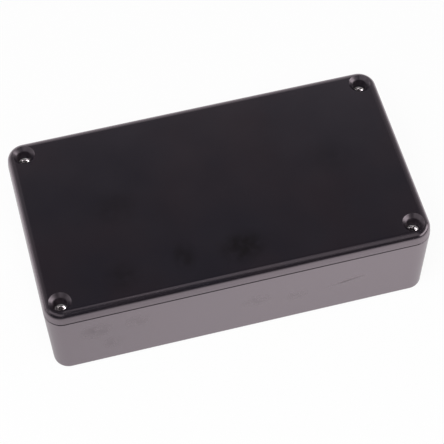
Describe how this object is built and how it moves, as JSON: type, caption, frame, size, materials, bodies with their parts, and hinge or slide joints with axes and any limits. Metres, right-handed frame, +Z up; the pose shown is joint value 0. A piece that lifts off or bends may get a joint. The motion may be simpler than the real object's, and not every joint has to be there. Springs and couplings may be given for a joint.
{
  "type": "die cast enclosure",
  "caption": "Black die cast aluminium box with drafted walls and a lap-jointed lid with countersunk corner holes, made to house a small circuit.",
  "frame": {"origin": "middle of the underside", "axes": "+X along the length, +Z up through the lid"},
  "size_m": [0.114, 0.063, 0.03],
  "materials": {
    "base_paint": "satin black paint",
    "lid_paint": "satin black paint"
  },
  "bodies": {
    "base": {"base": "base_paint"},
    "lid": {"lid": "lid_paint"}
  },
  "joints": [
    {"name": "lid_lift", "type": "slide", "parent": "base", "child": "lid", "axis": [0, 0, 1], "range_m": [0, 0.045]}
  ]
}
